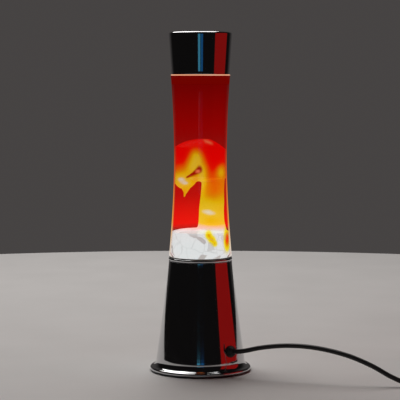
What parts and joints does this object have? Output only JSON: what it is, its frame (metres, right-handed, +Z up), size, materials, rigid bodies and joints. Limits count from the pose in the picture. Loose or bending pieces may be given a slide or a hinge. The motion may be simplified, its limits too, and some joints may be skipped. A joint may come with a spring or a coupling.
{
  "type": "lava lamp",
  "caption": "Tabletop lava lamp: flared metal base with a bulb inside, waisted glass bottle of liquid and wax, metal cap, and a flex with inline switch and plug.",
  "frame": {"origin": "on the table under the middle of the lamp's base", "axes": "+Z up along the lamp's axis; the lamp is seen from -Y; +X to its right, where the cord lies; the cord leaves the base 46 degrees from +X towards -Y"},
  "size_m": [0.403, 0.2003, 0.4],
  "materials": {
    "chrome": "polished chrome plate on spun metal",
    "black_plastic": "moulded, fine satin",
    "black_paint": "black enamel on pressed steel",
    "plated_steel": "bright zinc plate",
    "aluminium": "drawn, bright",
    "brass": "turned or pressed, bright",
    "rubber": "soft black rubber",
    "felt": "thin glued felt",
    "bottle_glass": "clear, polished",
    "bulb_glass": "clear, frosted face",
    "liquid": "clear red-tinted liquid",
    "wax": "translucent molten wax, lit from below",
    "cord": "black PVC sheath",
    "wire_blue": "PVC insulation",
    "wire_brown": "PVC insulation"
  },
  "bodies": {
    "base": {"base_shell": "chrome", "bottle_seat": "black_plastic", "base_plate": "black_paint", "foot_1": "rubber", "foot_2": "rubber", "foot_3": "rubber", "foot_4": "rubber", "plate_screw_1": "plated_steel", "plate_screw_2": "plated_steel", "plate_screw_3": "plated_steel", "holder_bracket": "plated_steel", "bracket_screw_1": "plated_steel", "bracket_screw_2": "plated_steel", "nipple_nut": "brass", "holder_nipple": "brass", "lampholder": "black_plastic", "thread_shell": "brass", "centre_contact": "brass", "cord_gland": "rubber", "inner_flex": "cord", "wire_neutral": "wire_blue", "wire_live": "wire_brown", "cord_lead": "cord", "cord_mid": "cord", "cord_tail": "cord", "cord_coil": "cord", "cord_tie": "rubber", "switch_lower": "black_plastic", "switch_upper": "black_plastic", "plug_body": "black_plastic", "plug_pin_1": "brass", "plug_pin_2": "brass"},
    "bulb_contact": {"bulb_tip": "plated_steel"},
    "bulb": {"bulb_insulator": "black_plastic", "bulb_cap": "aluminium", "bulb_glass": "bulb_glass", "bulb_stem": "bulb_glass", "bulb_filament": "plated_steel"},
    "bottle": {"bottle_glass": "bottle_glass", "liquid": "liquid", "wax": "wax", "heat_spring": "plated_steel", "crown_liner": "rubber", "crown_closure": "plated_steel"},
    "cap": {"cap_shell": "chrome", "cap_liner": "felt"},
    "rocker": {"switch_rocker": "black_plastic"}
  },
  "joints": [
    {"name": "bottle_lift", "type": "slide", "parent": "base", "child": "bottle", "axis": [0, 0, 1], "range_m": [0, 0.03]},
    {"name": "cap_lift", "type": "slide", "parent": "bottle", "child": "cap", "axis": [0, 0, 1], "range_m": [0, 0.04]},
    {"name": "bulb_rise", "type": "slide", "parent": "base", "child": "bulb_contact", "axis": [0, 0, 1], "range_m": [0, 0.0085]},
    {"name": "bulb_turn", "type": "hinge", "parent": "bulb_contact", "child": "bulb", "pos_m": [0, 0, 0.031], "axis": [0, 0, 1], "range_deg": [0, 1080]},
    {"name": "rocker_switch", "type": "hinge", "parent": "base", "child": "rocker", "pos_m": [0.332, -0.0385, 0.0128], "axis": [1, 0, 0], "range_deg": [0, 16]}
  ],
  "couplings": [
    {"joint": "bulb_rise", "follows": "bulb_turn", "m_per_rad": 0.00044882}
  ]
}
